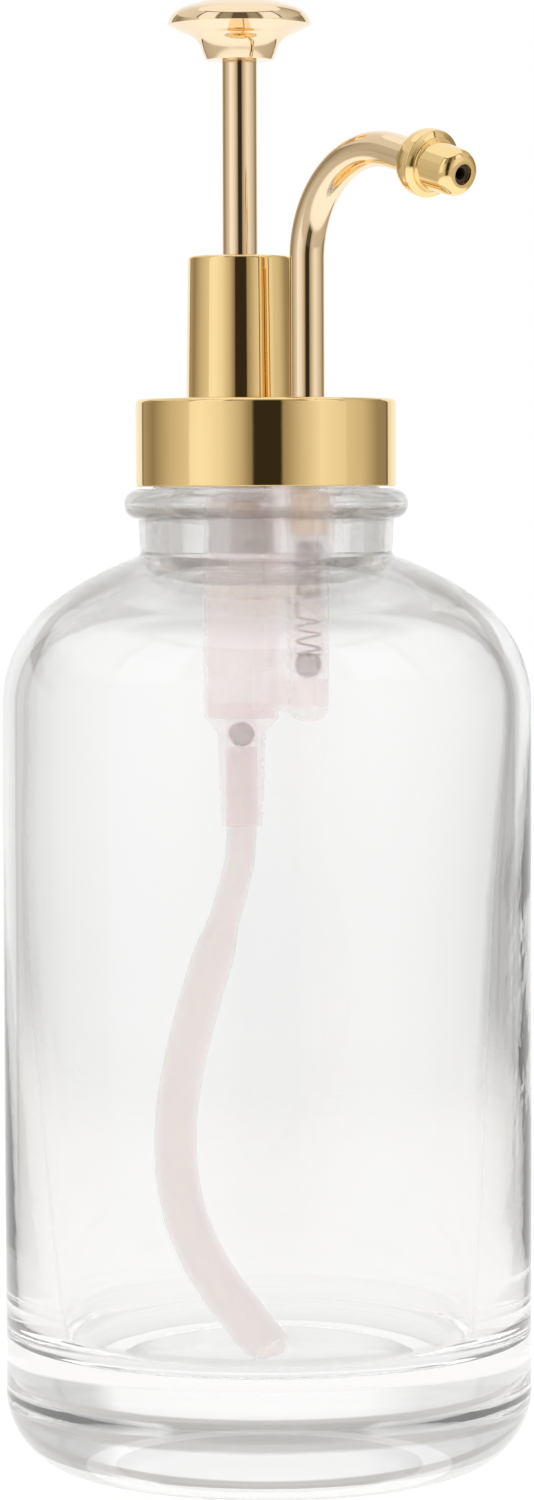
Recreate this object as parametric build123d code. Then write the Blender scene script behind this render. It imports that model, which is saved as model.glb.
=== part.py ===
from build123d import *
import math
import os

# Syrup dispenser: a glass bottle with a press pump and a fixed swan-neck spout.
# Millimetres, +Z up. The origin is the centre of the bottle's standing face, on the bottle's axis.
# The pump's plane is XZ: the plunger stands on the -X side and the spout reaches out along +X.

# Bottle
body_r = 41.0
heel_r = 12.4
body_top_z = 118.8
shoulder_low_r = 20.2
shoulder_low_turn = 54.0
shoulder_high_r = 50.5
neck_r = 19.5
neck_fillet = 1.2
bead_r = 22.0
bead_round = 2.35
bead_z = 149.9
finish_r = 17.5
rim_z = 161.0
rim_fillet = 0.8
bore_r = 15.2
shoulder_wall = 3.8
floor_z = 18.8
floor_wall = 8.6
floor_fillet = 7.0
bore_fillet = 3.0
push_up_r = 24.0
push_up_h = 1.4
push_up_bulge = 0.35

# Stack between the bottle's rim and the top of the collar
gasket_t = 1.0
flange_t = 1.5
cap_lip_t = 1.2
disc_flange_t = 0.7
shell_lip_t = 0.7

# Screw collar
collar_r = 20.2
shell_t = 0.5
collar_bottom_z = 152.6
collar_fillet = 0.8
cap_bore_r = 18.9
cap_lip_bore_r = 15.4
shell_lip_bore_r = 16.0
disc_flange_r = 17.6

# Pump housing
plunger_x = -6.1
spout_x = 9.9
flange_r = 17.3
chamber_bore_r = 5.3
chamber_top_r = 6.35
chamber_step_r = 6.05
chamber_foot_r = 5.9
chamber_step_z = 125.3
chamber_foot_z = 116.6
outlet_bore_r = 2.35
outlet_low_r = 3.2
outlet_high_r = 3.55
outlet_step_z = 141.5
outlet_foot_fillet = 2.4
passage_low_z = 118.0
passage_high_z = 125.1
passage_w = 4.8
passage_wall = 1.2
passage_roof = 1.95
passage_plug_proud = 0.2
web_t = 1.2
seat_hole_r = 1.5
seat_t = 0.9
boss_h = 4.5
vent_r = 0.7
vent_y = -9.0

# Valves and their springs
ball_r = 2.0
ball_lift = 1.5
inlet_ball_z = 114.0
outlet_wire_r = 0.22
outlet_coil_r = 1.77
outlet_open_pitch = 2.5
outlet_open_turns = 3.5
outlet_sleeve_t = 0.3
spring_stop_t = 1.0
spring_stop_bore_r = 1.3
spring_stop_z = 144.4

# Inlet valve body, at the foot of the large chamber
plug_h = 2.4
cone_h = 2.4
socket_top_r = 3.8
socket_foot_r = 3.25
socket_foot_z = 99.3
cage_bore_r = 2.4
nub_reach = 0.75
nub_h = 0.8
nub_w = 0.9
nub_root = 0.3

# Dip tube: its drawn-down upper end, and the full size below it
dip_neck_r = 2.4
dip_r = 3.3
dip_wall = 0.75
dip_cone_at = 3.5
dip_cone_h = 6.0
dip_straight = 4.2
dip_knee = (-7.0, -1.3, 88.5)
dip_side = (-9.5, -9.8, 62.5)
dip_turn = (-5.3, -14.9, 46.7)
dip_sweep = (4.2, -17.6, 34.2)
dip_end_x = 19.5
dip_end_y = -15.7
dip_floor_gap = 2.9

# Barrel, rod and piston
barrel_r = 8.15
barrel_flare = 0.35
barrel_wall = 0.8
barrel_top_z = 188.3
barrel_fillet = 0.6
bush_h = 3.5
rod_r = 2.75
piston_h = 7.5
piston_rest_z = 141.0
rod_in_piston = 5.8
piston_groove_at = 1.8
piston_groove_h = 1.8
piston_groove_d = 1.0
spring_collar_r = 4.6
spring_collar_h = 1.6
return_coil_r = 4.05
return_wire_r = 0.5
return_turns = 8.0
cup_wall = 0.45
cup_floor_t = 1.2
cup_depth = 18.3
cup_rim_t = 1.0

# Press knob
knob_r = 11.15
knob_rim_z = 224.1
knob_crown_h = 4.05
knob_shoulder_r = 9.0
knob_shoulder_h = 2.6
knob_under_r = 8.6
knob_under_h = 1.3
knob_waist_r = 5.75
knob_waist_h = 4.2
knob_hub_r = 5.25
knob_hub_h = 5.5
knob_bore_top = 0.6
knob_rim_fillet = 0.35
crown_bulge = 0.55
rim_bulge = 0.5
flare_bulge = 0.6

# Spout
spout_r = 2.7
spout_wall = 0.8
spout_straight_z = 187.3
spout_bend_r = 16.0
spout_dip = 15.5
seal_round = 0.62
seal_groove_h = 1.6
seal_boss_wall = 0.8
seal_boss_h = 0.95

# Nozzle, measured along its own axis from the end of the spout's bend
bell_start = 4.7
bell_mouth_r = 3.1
bell_end = 8.5
bell_bulge = 0.8
rim_r = 5.15
rim_h = 0.3
face_r = 4.2
face_h = 0.55
tube_in_bell = 2.4
spigot_r = 2.6
spigot_h = 2.0
step_r = 4.1
step_h = 0.4
step_fillet = 0.12
nose_foot_r = 3.72
nose_r = 3.58
nose_h = 6.6
nose_fillet = 1.8
outlet_hole_r = 1.55
insert_bore_r = 0.9
insert_h = 3.2
insert_recess = 0.7

# Clearances
press_gap = 0.02
slide_gap = 0.05
turn_gap = 0.12

# Places that follow from the sizes above
flange_z = rim_z + gasket_t
flange_top_z = flange_z + flange_t
cap_top_z = flange_top_z + cap_lip_t
disc_step_z = cap_top_z + disc_flange_t
collar_top_z = disc_step_z + shell_lip_t
boss_top_z = flange_top_z + boss_h
inlet_seat_z = inlet_ball_z - math.sqrt(ball_r ** 2 - seat_hole_r ** 2) - press_gap
duct_top_z = passage_high_z - passage_roof
outlet_seat_z = duct_top_z + seat_t
outlet_ball_z = outlet_seat_z + math.sqrt(ball_r ** 2 - seat_hole_r ** 2) + press_gap
cup_floor_z = boss_top_z - cup_depth
bush_z = barrel_top_z - barrel_wall - bush_h
plug_top_z = chamber_foot_z + plug_h
face_end = bell_end + rim_h + face_h


def turned(edges):
    """A solid of revolution about +Z from a closed outline in the XZ plane."""
    outline = make_face(Plane.XZ * Wire(edges))
    return revolve(outline, axis=Axis.Z)


def bulged(start, end, bulge):
    """An arc between two points that stands out from their chord by bulge, on its left side."""
    (x0, y0), (x1, y1) = start, end
    length = math.dist(start, end)
    middle = ((x0 + x1) / 2 - (y1 - y0) / length * bulge, (y0 + y1) / 2 + (x1 - x0) / length * bulge)
    return ThreePointArc(start, middle, end)


def polygon_turned(*points):
    """The same, from straight lines through (radius, height) points."""
    return turned(Polyline(*points, close=True).edges())


def ring(outer_r, inner_r, low_z, high_z):
    """A plain ring on +Z between two heights; an inner radius of 0 makes a disc."""
    section = Circle(outer_r)
    if inner_r > 0:
        section -= Circle(inner_r)
    return Pos(0, 0, low_z) * extrude(section, high_z - low_z)


def block(low_x, high_x, width, low_z, high_z):
    """A block in the pump's plane, between two X and two Z values, centred in Y."""
    size = (high_x - low_x, width, high_z - low_z)
    return Pos((low_x + high_x) / 2, 0, (low_z + high_z) / 2) * Box(*size)


def circle_edges(solid, radius, height):
    """The circular edges of one radius at one height, on +Z."""
    circles = solid.edges().filter_by(GeomType.CIRCLE)
    return circles.filter_by(lambda e: abs(e.radius - radius) < 0.01 and abs(e.arc_center.Z - height) < 0.01)


def coil(radius, wire_r, turns, low_z, high_z):
    """An open coil spring on +Z whose wire lies between two heights."""
    rise = high_z - low_z - 2 * wire_r
    path = Helix(rise / turns, rise, radius)
    section = Plane(path @ 0, z_dir=path % 0) * Circle(wire_r)
    return Pos(0, 0, low_z + wire_r) * sweep(section, path=path, is_frenet=True)


def shoulder(wall_r, wall):
    """Two tangent arcs from the straight wall up to a neck, for a wall offset inwards by wall."""
    low_r = shoulder_low_r - wall
    high_r = shoulder_high_r - wall
    low = JernArc((body_r - wall, body_top_z), (0, 1), low_r, shoulder_low_turn)
    centre_x = body_r - shoulder_low_r - (high_r - low_r) * math.cos(math.radians(shoulder_low_turn))
    end_angle = math.degrees(math.acos((wall_r - centre_x) / high_r))
    high = JernArc(low @ 1, low % 1, high_r, end_angle - shoulder_low_turn)
    return low, high


def bottle():
    """One piece of glass: thick base, straight wall, round shoulder, full-round bead, plain finish."""
    low, high = shoulder(neck_r, 0)
    foot_r = body_r - heel_r
    bead_x = bead_r - bead_round
    bead_foot_z = bead_z - math.sqrt(bead_round ** 2 - (bead_x - neck_r) ** 2)
    bead_top_z = bead_z + bead_round
    outside = turned([
        *bulged((0, push_up_h), (push_up_r, 0), push_up_bulge).edges(),
        *Line((push_up_r, 0), (foot_r, 0)).edges(),
        *JernArc((foot_r, 0), (1, 0), heel_r, 90).edges(),
        *Line((body_r, heel_r), (body_r, body_top_z)).edges(),
        *low.edges(),
        *high.edges(),
        *Line(high @ 1, (neck_r, bead_foot_z)).edges(),
        *ThreePointArc((neck_r, bead_foot_z), (bead_r, bead_z), (bead_x, bead_top_z)).edges(),
        *Line((bead_x, bead_top_z), (finish_r, bead_top_z)).edges(),
        *Line((finish_r, bead_top_z), (finish_r, rim_z)).edges(),
        *Line((finish_r, rim_z), (0, rim_z)).edges(),
        *Line((0, rim_z), (0, push_up_h)).edges(),
    ])
    outside = fillet(circle_edges(outside, neck_r, (high @ 1).Y), neck_fillet)
    outside = fillet(circle_edges(outside, finish_r, rim_z), rim_fillet)
    inner_low, inner_high = shoulder(bore_r, shoulder_wall)
    floor_r = body_r - floor_wall
    wall = TangentArc(inner_low @ 0, (floor_r, floor_z), tangent=(0, -1))
    inside = turned([
        *Line((0, floor_z), (floor_r, floor_z)).edges(),
        *wall.edges(),
        *inner_low.edges(),
        *inner_high.edges(),
        *Line(inner_high @ 1, (bore_r, rim_z)).edges(),
        *Line((bore_r, rim_z), (0, rim_z)).edges(),
        *Line((0, rim_z), (0, floor_z)).edges(),
    ])
    inside = fillet(circle_edges(inside, floor_r, floor_z), floor_fillet)
    inside = fillet(circle_edges(inside, bore_r, (inner_high @ 1).Y), bore_fillet)
    glass = outside - inside
    return fillet(circle_edges(glass, bore_r, rim_z), rim_fillet)


def collar_shell():
    """Drawn metal band with a lip turned in over the cover disc."""
    shell = ring(collar_r, 0, collar_bottom_z, collar_top_z)
    shell = fillet(circle_edges(shell, collar_r, collar_top_z), collar_fillet)
    shell -= ring(collar_r - shell_t, 0, collar_bottom_z, disc_step_z)
    return shell - ring(shell_lip_bore_r, 0, disc_step_z, collar_top_z)


def collar_cap():
    """Moulded screw cap inside the band; its lip clamps the housing's flange."""
    cap = ring(collar_r - shell_t - press_gap, cap_bore_r, collar_bottom_z + shell_t, cap_top_z)
    return cap + ring(cap_bore_r, cap_lip_bore_r, flange_top_z, cap_top_z)


def cover_disc():
    """Disc in the collar's opening, keyed by the barrel and the spout that pass through it."""
    disc = ring(disc_flange_r, 0, cap_top_z, disc_step_z - slide_gap)
    disc += ring(shell_lip_bore_r - turn_gap, 0, cap_top_z, collar_top_z)
    disc -= Pos(plunger_x, 0, 0) * ring(barrel_r + barrel_flare + turn_gap, 0, cap_top_z, collar_top_z)
    return disc - Pos(spout_x, 0, 0) * ring(spout_r + turn_gap, 0, cap_top_z, collar_top_z)


def neck_gasket():
    """Flat sealing ring between the bottle's rim and the flange."""
    return ring(flange_r, bore_r - rim_fillet, rim_z, flange_z)


def large_chamber():
    """Outside of the pump chamber, from its foot up through the flange to the barrel's boss."""
    chamber = polygon_turned(
        (0, chamber_foot_z),
        (chamber_foot_r, chamber_foot_z),
        (chamber_foot_r, chamber_step_z),
        (chamber_step_r, chamber_step_z),
        (chamber_top_r, flange_z),
        (0, flange_z),
    )
    boss = ring(barrel_r - barrel_wall - press_gap, 0, flange_z, boss_top_z)
    return Pos(plunger_x, 0, 0) * (chamber + boss)


def small_chamber():
    """Outside of the outlet chamber, with the spout's seal boss on the flange."""
    low = ring(outlet_low_r, 0, chamber_foot_z, outlet_step_z)
    low = fillet(circle_edges(low, outlet_low_r, chamber_foot_z), outlet_foot_fillet)
    high = ring(outlet_high_r, 0, outlet_step_z, flange_z)
    seal_r = spout_r + 2 * seal_round + seal_boss_wall
    boss = ring(seal_r, 0, flange_z, flange_top_z + seal_boss_h)
    return Pos(spout_x, 0, 0) * (low + high + boss)


def pump_housing():
    """Moulded two-chamber housing: flange, both chambers, web and the cross passage between them."""
    passage = block(plunger_x, spout_x, passage_w, passage_low_z, passage_high_z)
    web = block(plunger_x, spout_x, web_t, passage_high_z, flange_z)
    housing = ring(flange_r, 0, flange_z, flange_top_z) + large_chamber() + small_chamber() + passage + web
    housing -= Pos(plunger_x, 0, 0) * ring(chamber_bore_r, 0, chamber_foot_z, boss_top_z)
    seal_z = flange_top_z + seal_boss_h - seal_groove_h
    socket_r = spout_r + slide_gap
    outlet = ring(socket_r, 0, spring_stop_z, seal_z)
    outlet += ring(outlet_bore_r, 0, outlet_seat_z, spring_stop_z)
    outlet += ring(seat_hole_r, 0, duct_top_z, outlet_seat_z)
    outlet += ring(outlet_bore_r, 0, passage_low_z + passage_wall, duct_top_z)
    outlet += ring(spout_r + 2 * seal_round + slide_gap, 0, seal_z, flange_top_z + seal_boss_h)
    housing -= Pos(spout_x, 0, 0) * outlet
    duct_x = plunger_x + chamber_bore_r - passage_wall
    duct_end_x = spout_x + outlet_low_r
    duct = block(duct_x, duct_end_x, passage_w - 2 * passage_wall, plug_top_z, duct_top_z)
    housing -= duct
    return housing - Pos(0, vent_y, 0) * ring(vent_r, 0, flange_z, flange_top_z)


def passage_plug():
    """Pressed-in plug that closes the outer end of the cross passage, rounded like the chamber around it."""
    head_r = outlet_low_r + passage_plug_proud
    low_z = plug_top_z + press_gap
    high_z = duct_top_z - press_gap
    width = passage_w - 2 * passage_wall - 2 * press_gap
    stem = block(spout_x + outlet_bore_r, spout_x + head_r, width, low_z, high_z)
    return stem & Pos(spout_x, 0, 0) * ring(head_r, 0, low_z, high_z)


def inlet_valve():
    """Tapered foot of the large chamber: ball cage, valve seat and the dip tube's socket."""
    cone_z = chamber_foot_z - cone_h
    stop_z = inlet_seat_z - seat_t
    body = polygon_turned(
        (0, socket_foot_z),
        (socket_foot_r, socket_foot_z),
        (socket_top_r, cone_z),
        (chamber_foot_r, chamber_foot_z),
        (chamber_bore_r - press_gap, chamber_foot_z),
        (chamber_bore_r - press_gap, plug_top_z),
        (0, plug_top_z),
    )
    body -= ring(cage_bore_r, 0, inlet_seat_z, plug_top_z)
    body -= ring(seat_hole_r, 0, stop_z, inlet_seat_z)
    body -= ring(dip_neck_r + press_gap, 0, socket_foot_z, stop_z)
    nub_z = inlet_ball_z + ball_lift + ball_r + press_gap
    nub_x = cage_bore_r - nub_reach
    for angle in (0, 120, 240):
        body += Rot(0, 0, angle) * block(nub_x, cage_bore_r + nub_root, nub_w, nub_z, nub_z + nub_h)
    return Pos(plunger_x, 0, 0) * body


def inlet_ball():
    """Steel check ball on the inlet seat."""
    return Pos(plunger_x, 0, inlet_ball_z) * Sphere(ball_r)


def outlet_ball():
    """Steel check ball on the outlet seat."""
    return Pos(spout_x, 0, outlet_ball_z) * Sphere(ball_r)


def outlet_spring():
    """Light spring over the outlet ball: open coils below, and close-wound ones, as a sleeve, above."""
    foot_z = outlet_ball_z + math.sqrt(ball_r ** 2 - (outlet_coil_r - outlet_wire_r) ** 2)
    open_z = foot_z + outlet_open_pitch * outlet_open_turns
    open_coils = coil(outlet_coil_r, outlet_wire_r, outlet_open_turns, foot_z, open_z + outlet_open_pitch / 2)
    half_t = outlet_sleeve_t / 2
    sleeve = ring(outlet_coil_r + half_t, outlet_coil_r - half_t, open_z, spring_stop_z)
    return Pos(spout_x, 0, 0) * (open_coils + sleeve)


def outlet_spring_stop():
    """Ring under the spout tube's end that the outlet spring pushes against."""
    top_z = spring_stop_z + spring_stop_t
    return Pos(spout_x, 0, 0) * ring(spout_r + press_gap, spring_stop_bore_r, spring_stop_z, top_z)


def dip_tube():
    """Soft tube from the inlet valve down to the floor, set in a slow S; its upper end is drawn down."""
    top_z = inlet_seat_z - seat_t
    top = Vector(plunger_x, 0, top_z)
    knee = Vector(*dip_knee)
    foot = Vector(dip_end_x, dip_end_y, floor_z + dip_floor_gap)
    run = (Vector(*dip_side) - knee).normalized()
    cone_top = knee + run * dip_cone_at
    cone_foot = cone_top + run * dip_cone_h
    neck = route([top, Vector(plunger_x, 0, socket_foot_z - dip_straight), knee, cone_top])
    lower = route([cone_foot, Vector(*dip_side), Vector(*dip_turn), Vector(*dip_sweep), foot])
    tube = hollow_sweep(neck, dip_neck_r)
    tube += hollow_sweep(lower, dip_r)
    return tube + hollow_cone(cone_top, cone_foot, run)


def route(points):
    """Straight runs joined by tangent arcs, each as large as its shorter run allows."""
    radii = []
    for before, here, after in zip(points, points[1:], points[2:]):
        turn = (here - before).get_angle(after - here)
        shorter = min((here - before).length, (after - here).length)
        radii.append(0.45 * shorter / math.tan(math.radians(turn / 2)))
    print("dip tube bend radii, mm:", [round(r, 1) for r in radii])
    return FilletPolyline(*points, radius=radii)


def hollow_sweep(path, outer_r):
    """A tube of the dip tube's wall along a route."""
    start = Plane(path @ 0, z_dir=path % 0)
    section = start * (Circle(outer_r) - Circle(outer_r - dip_wall))
    return sweep(section, path=path)


def hollow_cone(top, foot, run):
    """The stretch where the dip tube widens, as a cone with a cone taken out."""
    upper = Plane(top, z_dir=run)
    lower = Plane(foot, z_dir=run)
    outside = loft([upper * Circle(dip_neck_r), lower * Circle(dip_r)])
    inside = loft([upper * Circle(dip_neck_r - dip_wall), lower * Circle(dip_r - dip_wall)])
    return outside - inside


def barrel_sleeve():
    """Drawn metal barrel around the rod and its spring, a little wider at its foot, pressed over the boss."""
    foot_r = barrel_r + barrel_flare
    barrel = polygon_turned((0, flange_top_z), (foot_r, flange_top_z), (barrel_r, barrel_top_z), (0, barrel_top_z))
    barrel = fillet(circle_edges(barrel, barrel_r, barrel_top_z), barrel_fillet)
    barrel -= ring(barrel_r - barrel_wall, 0, flange_top_z, barrel_top_z - barrel_wall)
    barrel -= ring(rod_r + turn_gap, 0, flange_top_z, barrel_top_z)
    return Pos(plunger_x, 0, 0) * barrel


def rod_bush():
    """Plastic guide under the barrel's top."""
    top_z = barrel_top_z - barrel_wall
    return Pos(plunger_x, 0, 0) * ring(barrel_r - barrel_wall - press_gap, rod_r + slide_gap, bush_z, top_z)


def spring_cup():
    """Thimble hung in the top of the large chamber; the return spring stands in it, clear of the syrup."""
    outer_r = chamber_bore_r - press_gap
    rim_r = barrel_r - barrel_wall - press_gap
    cup = ring(outer_r, 0, cup_floor_z, boss_top_z) + ring(rim_r, 0, boss_top_z, boss_top_z + cup_rim_t)
    cup -= ring(outer_r - cup_wall, 0, cup_floor_z + cup_floor_t, boss_top_z + cup_rim_t)
    return Pos(plunger_x, 0, 0) * (cup - ring(rod_r + slide_gap, 0, cup_floor_z, boss_top_z))


def return_spring():
    """Coil spring around the rod, from the cup's floor to the rod's spring collar."""
    low_z = cup_floor_z + cup_floor_t
    high_z = bush_z - spring_collar_h
    return Pos(plunger_x, 0, 0) * coil(return_coil_r, return_wire_r, return_turns, low_z, high_z)


def spring_collar():
    """Shoulder on the rod: the return spring lifts it, and the bush stops it."""
    return Pos(plunger_x, 0, 0) * ring(spring_collar_r, rod_r + press_gap, bush_z - spring_collar_h, bush_z)


def plunger_rod():
    """Polished rod from the piston up into the knob."""
    low_z = piston_rest_z + piston_h - rod_in_piston
    return Pos(plunger_x, 0, 0) * ring(rod_r, 0, low_z, knob_rim_z - knob_bore_top)


def piston():
    """Piston on the rod's end, with a groove for its lip seal."""
    outer_r = chamber_bore_r - slide_gap
    top_z = piston_rest_z + piston_h
    body = ring(outer_r, 0, piston_rest_z, top_z)
    groove_z = piston_rest_z + piston_groove_at
    body -= ring(outer_r, outer_r - piston_groove_d, groove_z, groove_z + piston_groove_h)
    body -= ring(rod_r + press_gap, 0, top_z - rod_in_piston, top_z)
    return Pos(plunger_x, 0, 0) * body


def piston_seal():
    """Soft ring in the piston's groove."""
    outer_r = chamber_bore_r - press_gap
    inner_r = chamber_bore_r - slide_gap - piston_groove_d + press_gap
    groove_z = piston_rest_z + piston_groove_at
    groove_top_z = groove_z + piston_groove_h
    return Pos(plunger_x, 0, 0) * ring(outer_r, inner_r, groove_z + press_gap, groove_top_z - press_gap)


def press_knob():
    """Turned knob: low crown, thin rim, concave flare down to a short hub."""
    crown_z = knob_rim_z + knob_crown_h
    shoulder_z = knob_rim_z + knob_shoulder_h
    under_z = knob_rim_z - knob_under_h
    waist_z = knob_rim_z - knob_waist_h
    hub_z = knob_rim_z - knob_hub_h
    knob = turned([
        *bulged((0, crown_z), (knob_shoulder_r, shoulder_z), crown_bulge).edges(),
        *bulged((knob_shoulder_r, shoulder_z), (knob_r, knob_rim_z), rim_bulge).edges(),
        *Line((knob_r, knob_rim_z), (knob_under_r, under_z)).edges(),
        *bulged((knob_under_r, under_z), (knob_waist_r, waist_z), -flare_bulge).edges(),
        *Line((knob_waist_r, waist_z), (knob_hub_r, hub_z)).edges(),
        *Line((knob_hub_r, hub_z), (0, hub_z)).edges(),
        *Line((0, hub_z), (0, crown_z)).edges(),
    ])
    knob = fillet(circle_edges(knob, knob_r, knob_rim_z), knob_rim_fillet)
    knob -= ring(rod_r + press_gap, 0, hub_z, knob_rim_z - knob_bore_top)
    return Pos(plunger_x, 0, 0) * knob


def spout_path():
    """Centreline of the spout: up from the spring stop, and over the bend past the horizontal."""
    rise = Line((spout_x, 0, spring_stop_z + spring_stop_t), (spout_x, 0, spout_straight_z))
    side = Plane((spout_x, 0, spout_straight_z), x_dir=(1, 0, 0), z_dir=(0, -1, 0))
    return rise, side * JernArc((0, 0), (0, 1), spout_bend_r, -(90 + spout_dip))


def spout_tube():
    """Bent gold tube from the outlet spring's stop to the nozzle's bell."""
    rise, bend = spout_path()
    section = Circle(spout_r) - Circle(spout_r - spout_wall)
    straight = Plane(rise @ 0, z_dir=rise % 0) * extrude(section, rise.length)
    bent = sweep(Plane(bend @ 0, z_dir=bend % 0) * section, path=bend)
    return straight + bent + on_nozzle(extrude(section, bell_start + tube_in_bell))


def spout_seal():
    """O-ring around the spout tube in the flange's boss."""
    seal_z = flange_top_z + seal_boss_h - seal_groove_h
    middle_r = spout_r + seal_round + slide_gap / 2
    return Pos(spout_x, 0, seal_z + seal_groove_h / 2) * Torus(middle_r, seal_round)


def on_nozzle(solid):
    """Carries a solid drawn on +Z from the end of the bend onto the nozzle's axis."""
    end = spout_path()[1]
    return Plane(end @ 1, x_dir=(0, 1, 0), z_dir=end % 1) * solid


def nozzle_bell():
    """Domed bell on the spout's end, with a thin rim and a shallow cone in front."""
    rim_end = bell_end + rim_h
    bell = turned([
        *Line((0, bell_start), (bell_mouth_r, bell_start)).edges(),
        *bulged((bell_mouth_r, bell_start), (rim_r, bell_end), -bell_bulge).edges(),
        *Line((rim_r, bell_end), (rim_r, rim_end)).edges(),
        *Line((rim_r, rim_end), (face_r, face_end)).edges(),
        *Line((face_r, face_end), (0, face_end)).edges(),
        *Line((0, face_end), (0, bell_start)).edges(),
    ])
    bell -= ring(spout_r + press_gap, 0, bell_start, bell_start + tube_in_bell)
    bell -= ring(spigot_r, 0, bell_start + tube_in_bell, face_end)
    return on_nozzle(bell)


def nozzle_tip():
    """Turned nose with a thin step at its foot and a well-rounded front, screwed into the bell."""
    front = face_end + nose_h
    foot = face_end + step_h
    step = fillet(circle_edges(ring(step_r, 0, face_end, foot), step_r, foot), step_fillet)
    nose = polygon_turned((0, face_end), (nose_foot_r, face_end), (nose_foot_r, foot), (nose_r, front), (0, front))
    nose = step + fillet(circle_edges(nose, nose_r, front), nose_fillet)
    nose += ring(spigot_r - press_gap, 0, face_end - spigot_h, face_end)
    return on_nozzle(nose - ring(outlet_hole_r, 0, face_end - spigot_h, front))


def nozzle_insert():
    """Dark drip insert, set back a little inside the nose."""
    front = face_end + nose_h - insert_recess
    return on_nozzle(ring(outlet_hole_r - press_gap, insert_bore_r, front - insert_h, front))


parts = {
    "bottle": bottle,
    "collar_shell": collar_shell,
    "collar_cap": collar_cap,
    "cover_disc": cover_disc,
    "neck_gasket": neck_gasket,
    "pump_housing": pump_housing,
    "passage_plug": passage_plug,
    "inlet_valve": inlet_valve,
    "inlet_ball": inlet_ball,
    "outlet_ball": outlet_ball,
    "outlet_spring": outlet_spring,
    "outlet_spring_stop": outlet_spring_stop,
    "dip_tube": dip_tube,
    "barrel_sleeve": barrel_sleeve,
    "rod_bush": rod_bush,
    "spring_cup": spring_cup,
    "return_spring": return_spring,
    "spring_collar": spring_collar,
    "plunger_rod": plunger_rod,
    "piston": piston,
    "piston_seal": piston_seal,
    "press_knob": press_knob,
    "spout_tube": spout_tube,
    "spout_seal": spout_seal,
    "nozzle_bell": nozzle_bell,
    "nozzle_tip": nozzle_tip,
    "nozzle_insert": nozzle_insert,
}

os.makedirs("parts", exist_ok=True)
for name, make in parts.items():
    export_step(make(), f"parts/{name}.step")
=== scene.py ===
import math

import bpy
import numpy as np
from mathutils import Matrix, Vector


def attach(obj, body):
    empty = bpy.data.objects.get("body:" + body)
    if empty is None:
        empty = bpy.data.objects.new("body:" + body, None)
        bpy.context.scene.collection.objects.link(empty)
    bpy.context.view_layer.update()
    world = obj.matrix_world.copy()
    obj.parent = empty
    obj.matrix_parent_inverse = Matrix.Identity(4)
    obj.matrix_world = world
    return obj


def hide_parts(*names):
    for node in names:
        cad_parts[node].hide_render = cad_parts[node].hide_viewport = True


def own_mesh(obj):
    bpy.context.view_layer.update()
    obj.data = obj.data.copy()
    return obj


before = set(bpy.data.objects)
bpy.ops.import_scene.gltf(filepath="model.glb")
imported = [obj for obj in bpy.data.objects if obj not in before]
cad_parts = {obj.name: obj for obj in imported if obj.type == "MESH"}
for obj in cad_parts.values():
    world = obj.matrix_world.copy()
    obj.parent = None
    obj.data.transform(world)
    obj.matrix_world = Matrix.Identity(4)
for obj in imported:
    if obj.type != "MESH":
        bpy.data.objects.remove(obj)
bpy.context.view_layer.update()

MM = 0.001
TURNS, GLASS_TURNS = 224, 288

# Sizes in millimetres, as the frame has them. Bottle:
BODY_R, HEEL_R, BODY_TOP = 41.0, 12.4, 118.8
LOW_R, LOW_TURN, HIGH_R = 20.2, 54.0, 50.5
NECK_R, FINISH_R, BORE_R, RIM_Z = 19.5, 17.5, 15.2, 161.0
BEAD_R, BEAD_ROUND, BEAD_Z = 22.0, 2.35, 149.9
WALL, FLOOR_R, FLOOR_Z = 3.8, 32.4, 18.8
PUSH_UP_R, PUSH_UP_Z = 24.0, 1.4
# Threads: a zone is where the wall may be threaded, a run is from where the helix begins to where it ends
THREAD_LEAD, THREAD_START, THREAD_FADE = 25.4 / 6, 0.6, 0.8
THREAD_H, THREAD_ZONE, THREAD_RUN = 1.15, (152.6, 160.4), (154.2, 159.4)
CAP_THREAD_H, CAP_THREAD_ZONE, CAP_THREAD_RUN = 1.05, (153.2, 162.9), (154.4, 161.2)
# The longest stretch of an outline: along the bottle's thread, elsewhere on the bottle, and on the cap
THREAD_STEP, WALL_STEP, CAP_STEP = 0.2, 2.5, 0.25
# Collar and cap
COLLAR_R, COLLAR_LOW, COLLAR_TOP = 20.2, 152.6, 166.1
COLLAR_WALL, COLLAR_MOUTH_R, COLLAR_LID_Z = 0.5, 16.0, 165.4
CAP_R, CAP_LOW, CAP_TOP = 19.68, 153.1, 164.7
CAP_INNER_R, CAP_MOUTH_R, CAP_LID_Z = 18.9, 15.4, 163.5
# Pump
PLUNGER_X, SPOUT_X = -6.1, 9.9
BARREL_R, BARREL_FOOT_R, BARREL_INNER_R, BARREL_HOLE_R = 8.15, 8.5, 7.35, 2.87
BARREL_LOW, BARREL_LID_Z, BARREL_TOP = 163.5, 187.5, 188.3
ROD_R, ROD_LOW, ROD_TOP = 2.75, 142.7, 223.5
KNOB_R, KNOB_Z, KNOB_SOCKET_R = 11.15, 224.1, 2.77
SPRING_LOW, SPRING_TOP, SPRING_TRAVEL = 150.9, 182.4, 18.0
SPRING_COIL_R, SPRING_WIRE_R = 4.05, 0.5
OUTLET_LOW, OUTLET_TOP, OUTLET_TRAVEL = 126.66, 144.4, 1.5
OUTLET_COIL_R, OUTLET_WIRE_R, OUTLET_OPEN_TOP = 1.77, 0.22, 135.4
DIP_NECK_R, DIP_R, DIP_WALL = 2.4, 3.3, 0.75
DIP_CONE_AT, DIP_CONE_H = 3.5, 6.0
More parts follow.
